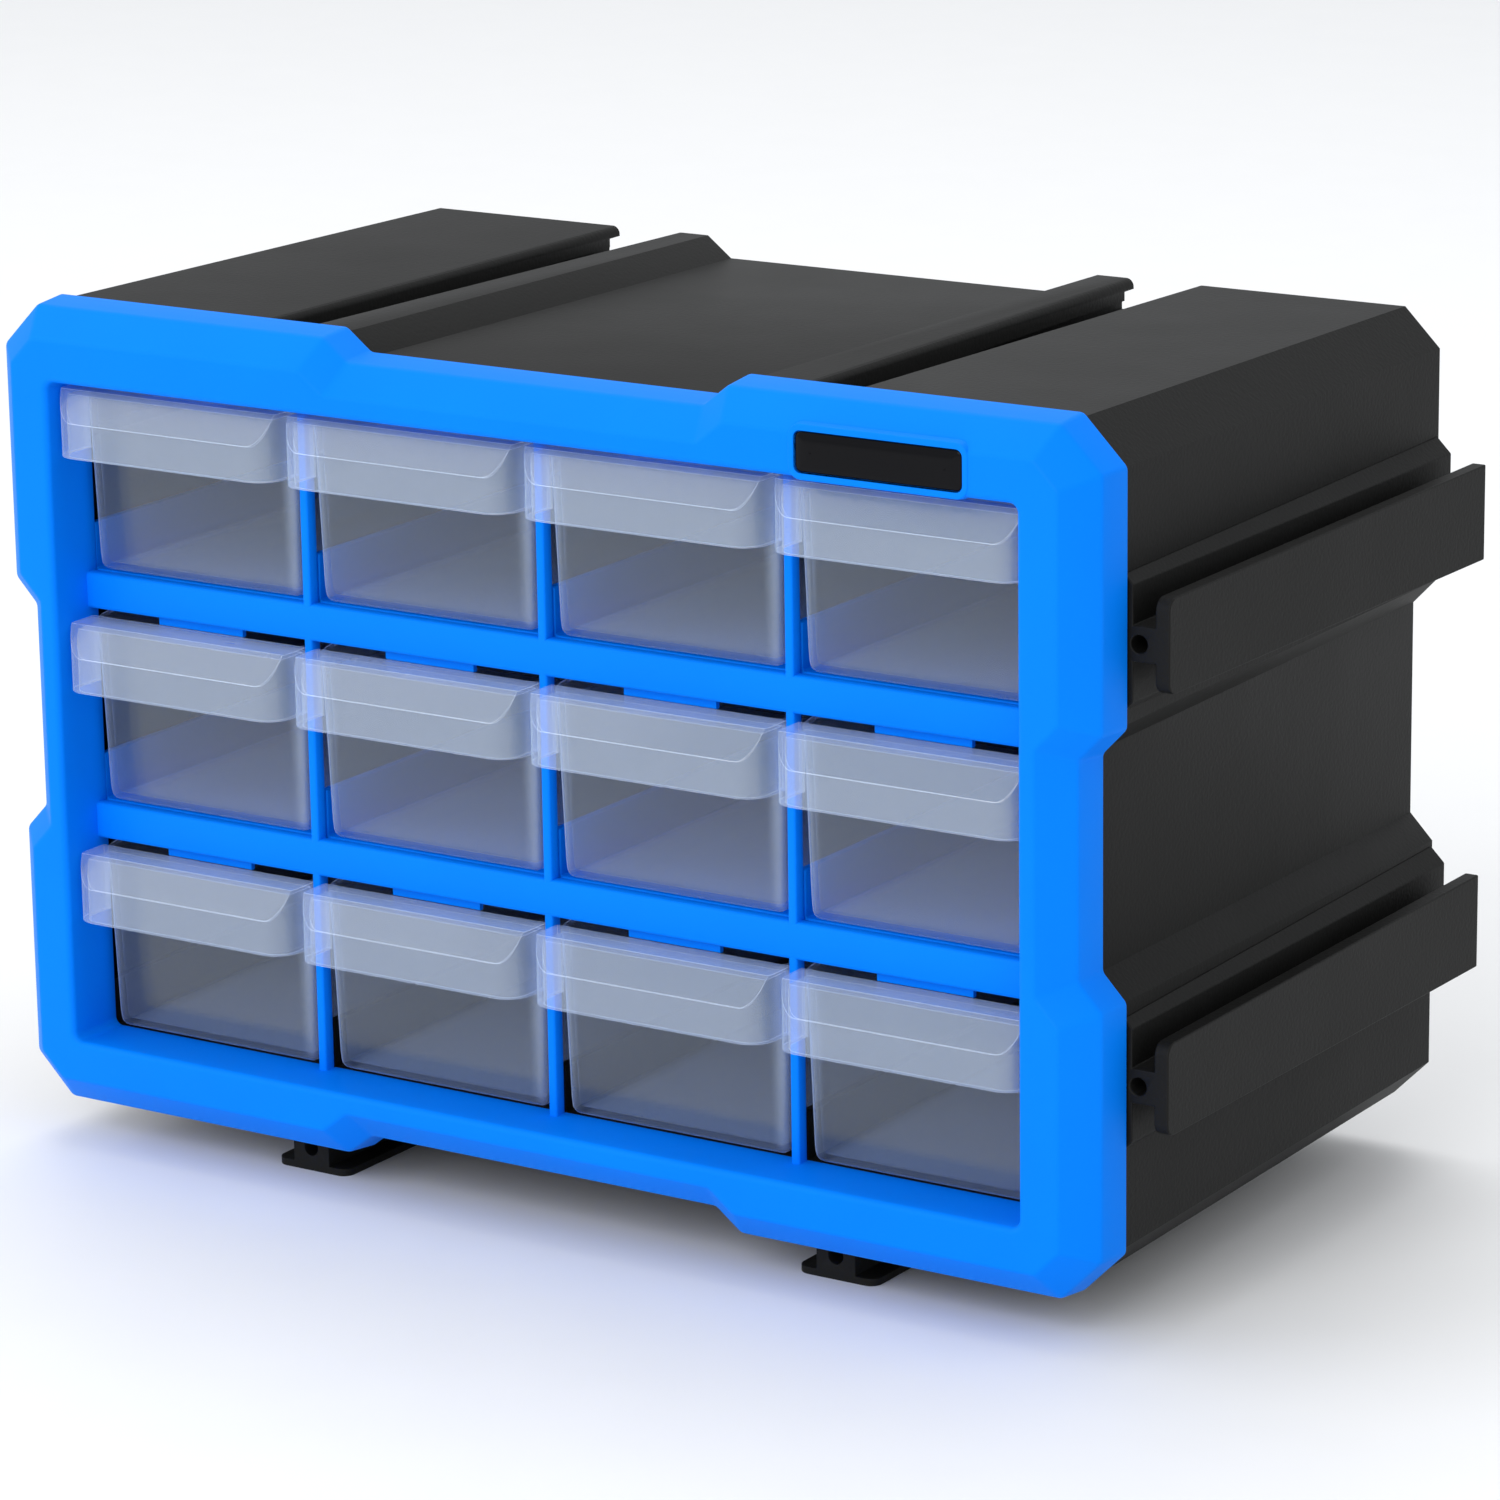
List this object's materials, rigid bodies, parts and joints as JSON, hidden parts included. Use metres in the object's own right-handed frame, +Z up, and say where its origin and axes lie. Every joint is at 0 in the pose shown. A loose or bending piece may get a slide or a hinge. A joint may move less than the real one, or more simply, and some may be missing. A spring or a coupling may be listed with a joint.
{
  "type": "parts organizer cabinet",
  "caption": "Stackable small-parts cabinet with a black case, blue front frame, clear pull-out drawers, and T-slots and T-rails that join it to its neighbours.",
  "frame": {"origin": "middle of the footprint of the whole object's box, on the plane of the base rails' undersides", "axes": "+X to the user's right as they face the drawers, +Y from the front to the back, +Z up"},
  "size_m": [0.2736, 0.1478, 0.1831],
  "materials": {
    "blue_plastic": "satin moulded polypropylene",
    "black_plastic": "fine spark-eroded grain",
    "clear_plastic": "slightly milky clear polypropylene",
    "badge_plastic": "high gloss"
  },
  "bodies": {
    "cabinet": {"front_frame": "blue_plastic", "case_shell": "black_plastic", "shelf_upper": "blue_plastic", "shelf_lower": "blue_plastic", "badge": "badge_plastic", "side_rail_upper": "black_plastic", "side_rail_lower": "black_plastic", "base_rail_left": "black_plastic", "base_rail_right": "black_plastic"},
    "drawer_r1_c1": {"drawer_r1_c1": "clear_plastic"},
    "drawer_r1_c2": {"drawer_r1_c2": "clear_plastic"},
    "drawer_r1_c3": {"drawer_r1_c3": "clear_plastic"},
    "drawer_r1_c4": {"drawer_r1_c4": "clear_plastic"},
    "drawer_r2_c1": {"drawer_r2_c1": "clear_plastic"},
    "drawer_r2_c2": {"drawer_r2_c2": "clear_plastic"},
    "drawer_r2_c3": {"drawer_r2_c3": "clear_plastic"},
    "drawer_r2_c4": {"drawer_r2_c4": "clear_plastic"},
    "drawer_r3_c1": {"drawer_r3_c1": "clear_plastic"},
    "drawer_r3_c2": {"drawer_r3_c2": "clear_plastic"},
    "drawer_r3_c3": {"drawer_r3_c3": "clear_plastic"},
    "drawer_r3_c4": {"drawer_r3_c4": "clear_plastic"}
  },
  "joints": [
    {"name": "drawer_r1_c1_slide", "type": "slide", "parent": "cabinet", "child": "drawer_r1_c1", "axis": [0, -1, 0], "range_m": [0, 0.127]},
    {"name": "drawer_r1_c2_slide", "type": "slide", "parent": "cabinet", "child": "drawer_r1_c2", "axis": [0, -1, 0], "range_m": [0, 0.127]},
    {"name": "drawer_r1_c3_slide", "type": "slide", "parent": "cabinet", "child": "drawer_r1_c3", "axis": [0, -1, 0], "range_m": [0, 0.127]},
    {"name": "drawer_r1_c4_slide", "type": "slide", "parent": "cabinet", "child": "drawer_r1_c4", "axis": [0, -1, 0], "range_m": [0, 0.127]},
    {"name": "drawer_r2_c1_slide", "type": "slide", "parent": "cabinet", "child": "drawer_r2_c1", "axis": [0, -1, 0], "range_m": [0, 0.127]},
    {"name": "drawer_r2_c2_slide", "type": "slide", "parent": "cabinet", "child": "drawer_r2_c2", "axis": [0, -1, 0], "range_m": [0, 0.127]},
    {"name": "drawer_r2_c3_slide", "type": "slide", "parent": "cabinet", "child": "drawer_r2_c3", "axis": [0, -1, 0], "range_m": [0, 0.127]},
    {"name": "drawer_r2_c4_slide", "type": "slide", "parent": "cabinet", "child": "drawer_r2_c4", "axis": [0, -1, 0], "range_m": [0, 0.127]},
    {"name": "drawer_r3_c1_slide", "type": "slide", "parent": "cabinet", "child": "drawer_r3_c1", "axis": [0, -1, 0], "range_m": [0, 0.127]},
    {"name": "drawer_r3_c2_slide", "type": "slide", "parent": "cabinet", "child": "drawer_r3_c2", "axis": [0, -1, 0], "range_m": [0, 0.127]},
    {"name": "drawer_r3_c3_slide", "type": "slide", "parent": "cabinet", "child": "drawer_r3_c3", "axis": [0, -1, 0], "range_m": [0, 0.127]},
    {"name": "drawer_r3_c4_slide", "type": "slide", "parent": "cabinet", "child": "drawer_r3_c4", "axis": [0, -1, 0], "range_m": [0, 0.127]}
  ]
}
